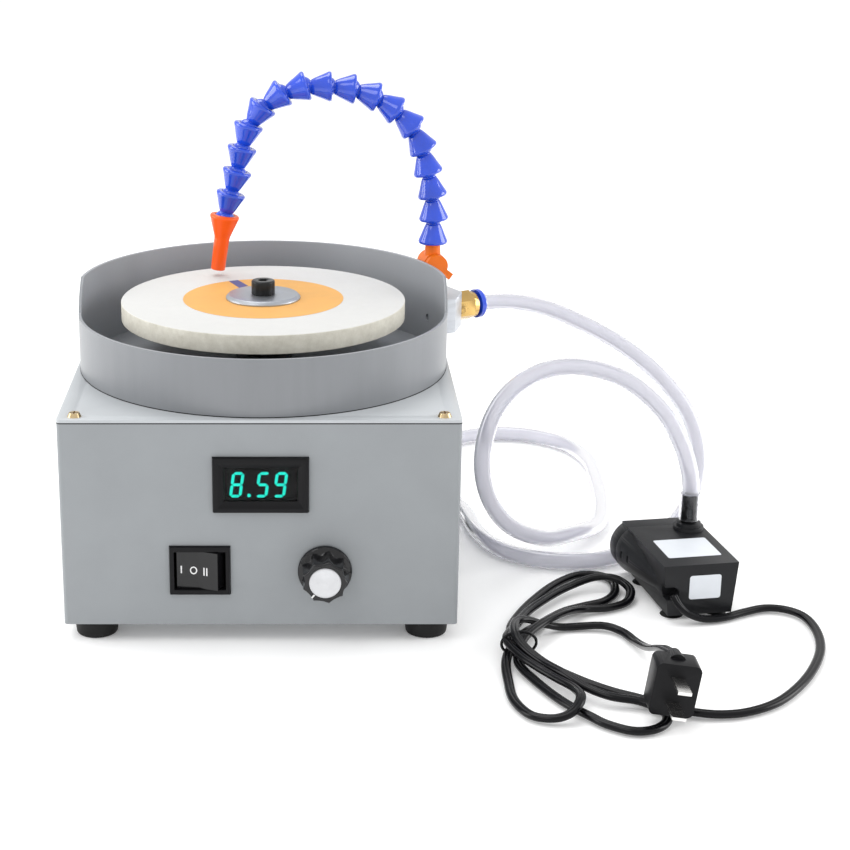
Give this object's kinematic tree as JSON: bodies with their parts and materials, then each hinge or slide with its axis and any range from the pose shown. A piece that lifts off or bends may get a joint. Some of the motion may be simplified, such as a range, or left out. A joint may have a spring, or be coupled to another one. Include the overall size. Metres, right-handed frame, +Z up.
{
  "type": "cabbing machine",
  "caption": "Bench-top lapidary disc grinder with a grey case, open drip basin, level lapping disc, jointed coolant arm and a submersible coolant pump on a clear hose.",
  "frame": {"origin": "at table level, under the centre of the box that holds the machine without its hose, pump, cable and plug", "axes": "+X to the right of the control panel, +Y to the back, +Z up; the control panel faces -Y"},
  "size_m": [0.388, 0.4404, 0.2689],
  "materials": {
    "grey_powder_coat": "fine powder coat, satin",
    "basin_grey": "fine powder coat, satin",
    "zinc_steel": "zinc plated",
    "bright_steel": "machined",
    "motor_steel": "painted, satin",
    "cast_alloy": "die cast",
    "bare_alloy": "machined, matt",
    "brass": "machined",
    "brass_screw": "yellow zinc plated",
    "black_rubber": "matt",
    "black_plastic": "satin moulded",
    "black_gloss": "gloss moulded",
    "pump_black": "satin moulded",
    "silver_cap": "spun, brushed",
    "meter_lens": "smoked, gloss",
    "circuit_board": "solder mask",
    "white_disc": "matt, rough edge",
    "black_oxide": "black oxide",
    "blue_plastic": "gloss moulded",
    "orange_plastic": "gloss moulded",
    "clear_hose": "clear flexible vinyl, gloss",
    "white_plastic": "moulded",
    "black_cable": "soft vinyl, semi-gloss",
    "plated_blades": "nickel plated"
  },
  "bodies": {
    "machine": {"case": "grey_powder_coat", "base_plate": "zinc_steel", "feet": "black_rubber", "foot_screws": "zinc_steel", "cover": "grey_powder_coat", "cover_screws": "brass_screw", "basin": "basin_grey", "spindle_seal": "black_rubber", "meter_housing": "black_plastic", "meter_lens": "meter_lens", "meter_board": "circuit_board", "switch_body": "black_plastic", "potentiometer": "zinc_steel", "motor_can": "motor_steel", "motor_end_cap": "cast_alloy", "motor_bearings": "bright_steel", "motor_screws": "bright_steel", "control_board": "circuit_board", "mains_inlet": "black_plastic", "manifold_block": "bare_alloy", "push_fitting": "brass", "valve_body": "orange_plastic", "coolant_hose": "clear_hose", "pump_body": "pump_black", "pump_cover": "pump_black", "suction_cups": "black_rubber", "pump_cable": "black_cable", "plug": "black_plastic", "plug_blades": "plated_blades"},
    "spindle": {"arbor_hub": "bright_steel", "lap_disc": "white_disc", "clamp_flange": "bright_steel", "clamp_screw": "black_oxide", "motor_shaft": "bright_steel", "motor_rotor": "motor_steel"},
    "speed_control": {"speed_knob": "black_plastic", "knob_cap": "silver_cap", "pot_shaft": "zinc_steel"},
    "rocker": {"switch_rocker": "black_gloss"},
    "tap": {"valve_handle": "orange_plastic"},
    "collet": {"fitting_collet": "blue_plastic"},
    "link_01": {"hose_link_01": "blue_plastic"},
    "link_02": {"hose_link_02": "blue_plastic"},
    "link_03": {"hose_link_03": "blue_plastic"},
    "link_04": {"hose_link_04": "blue_plastic"},
    "link_05": {"hose_link_05": "blue_plastic"},
    "link_06": {"hose_link_06": "blue_plastic"},
    "link_07": {"hose_link_07": "blue_plastic"},
    "link_08": {"hose_link_08": "blue_plastic"},
    "link_09": {"hose_link_09": "blue_plastic"},
    "link_10": {"hose_link_10": "blue_plastic"},
    "link_11": {"hose_link_11": "blue_plastic"},
    "link_12": {"hose_link_12": "blue_plastic"},
    "link_13": {"hose_link_13": "blue_plastic"},
    "link_14": {"hose_link_14": "blue_plastic"},
    "link_15": {"hose_link_15": "blue_plastic"},
    "link_16": {"hose_link_16": "blue_plastic"},
    "link_17": {"hose_link_17": "blue_plastic"},
    "nozzle_body": {"nozzle": "orange_plastic"},
    "impeller": {"pump_impeller": "white_plastic"}
  },
  "joints": [
    {"name": "spindle_spin", "type": "hinge", "parent": "machine", "child": "spindle", "pos_m": [-0.0132, 0.0006, 0.145], "axis": [0, 0, 1], "continuous": true},
    {"name": "knob_turn", "type": "hinge", "parent": "machine", "child": "speed_control", "pos_m": [0.0193, -0.1094, 0.0395], "axis": [0, 1, 0], "range_deg": [-10, 290]},
    {"name": "rocker_tilt", "type": "hinge", "parent": "machine", "child": "rocker", "pos_m": [-0.0436, -0.0964, 0.0398], "axis": [0, 0, 1], "range_deg": [0, 24]},
    {"name": "tap_turn", "type": "hinge", "parent": "machine", "child": "tap", "pos_m": [0.08073, 0.05267, 0.162], "axis": [0.2588, -0.9659, 0], "range_deg": [0, 90]},
    {"name": "collet_press", "type": "slide", "parent": "machine", "child": "collet", "axis": [-0.8746, -0.4848, 0], "range_m": [0, 0.0004], "stiffness_N_per_m": 300},
    {"name": "arm_swivel", "type": "hinge", "parent": "machine", "child": "link_01", "pos_m": [0.08073, 0.05267, 0.1765], "axis": [0, 0, 1], "range_deg": [-15, 90]},
    {"name": "ball_02", "type": "hinge", "parent": "link_01", "child": "link_02", "pos_m": [0.08073, 0.05267, 0.1896], "axis": [0, 1, 0], "range_deg": [0, 11]},
    {"name": "ball_03", "type": "hinge", "parent": "link_02", "child": "link_03", "pos_m": [0.07959, 0.05267, 0.20265], "axis": [0, 1, 0], "range_deg": [0, 11]},
    {"name": "ball_04", "type": "hinge", "parent": "link_03", "child": "link_04", "pos_m": [0.07687, 0.05267, 0.21546], "axis": [0, 1, 0], "range_deg": [0, 11]},
    {"name": "ball_05", "type": "hinge", "parent": "link_04", "child": "link_05", "pos_m": [0.07348, 0.05267, 0.22812], "axis": [0, 1, 0], "range_deg": [0, 11]},
    {"name": "ball_06", "type": "hinge", "parent": "link_05", "child": "link_06", "pos_m": [0.06713, 0.05267, 0.23958], "axis": [0, 1, 0], "range_deg": [0, 11]},
    {"name": "ball_07", "type": "hinge", "parent": "link_06", "child": "link_07", "pos_m": [0.05755, 0.05267, 0.24851], "axis": [0, 1, 0], "range_deg": [0, 11]},
    {"name": "ball_08", "type": "hinge", "parent": "link_07", "child": "link_08", "pos_m": [0.04644, 0.05267, 0.25545], "axis": [0, 1, 0], "range_deg": [0, 11]},
    {"name": "ball_09", "type": "hinge", "parent": "link_08", "child": "link_09", "pos_m": [0.03398, 0.05267, 0.2595], "axis": [0, 1, 0], "range_deg": [0, 11]},
    {"name": "ball_10", "type": "hinge", "parent": "link_09", "child": "link_10", "pos_m": [0.02093, 0.05267, 0.26064], "axis": [0, 1, 0], "range_deg": [0, 11]},
    {"name": "ball_11", "type": "hinge", "parent": "link_10", "child": "link_11", "pos_m": [0.00783, 0.05267, 0.26041], "axis": [0, 1, 0], "range_deg": [0, 11]},
    {"name": "ball_12", "type": "hinge", "parent": "link_11", "child": "link_12", "pos_m": [-0.00456, 0.05267, 0.25615], "axis": [0, 1, 0], "range_deg": [0, 11]},
    {"name": "ball_13", "type": "hinge", "parent": "link_12", "child": "link_13", "pos_m": [-0.01502, 0.05267, 0.24826], "axis": [0, 1, 0], "range_deg": [0, 11]},
    {"name": "ball_14", "type": "hinge", "parent": "link_13", "child": "link_14", "pos_m": [-0.02234, 0.05267, 0.2374], "axis": [0, 1, 0], "range_deg": [0, 11]},
    {"name": "ball_15", "type": "hinge", "parent": "link_14", "child": "link_15", "pos_m": [-0.02595, 0.05267, 0.22481], "axis": [0, 1, 0], "range_deg": [0, 11]},
    {"name": "ball_16", "type": "hinge", "parent": "link_15", "child": "link_16", "pos_m": [-0.0289, 0.05267, 0.21205], "axis": [0, 1, 0], "range_deg": [0, 11]},
    {"name": "ball_17", "type": "hinge", "parent": "link_16", "child": "link_17", "pos_m": [-0.03251, 0.05267, 0.19945], "axis": [0, 1, 0], "range_deg": [0, 11]},
    {"name": "nozzle_tilt", "type": "hinge", "parent": "link_17", "child": "nozzle_body", "pos_m": [-0.0359, 0.05267, 0.1868], "axis": [0, 1, 0], "range_deg": [0, 11]},
    {"name": "impeller_spin", "type": "hinge", "parent": "machine", "child": "impeller", "pos_m": [0.21227, -0.03787, 0.0175], "axis": [-0.165, 0.9863, 0], "continuous": true}
  ]
}
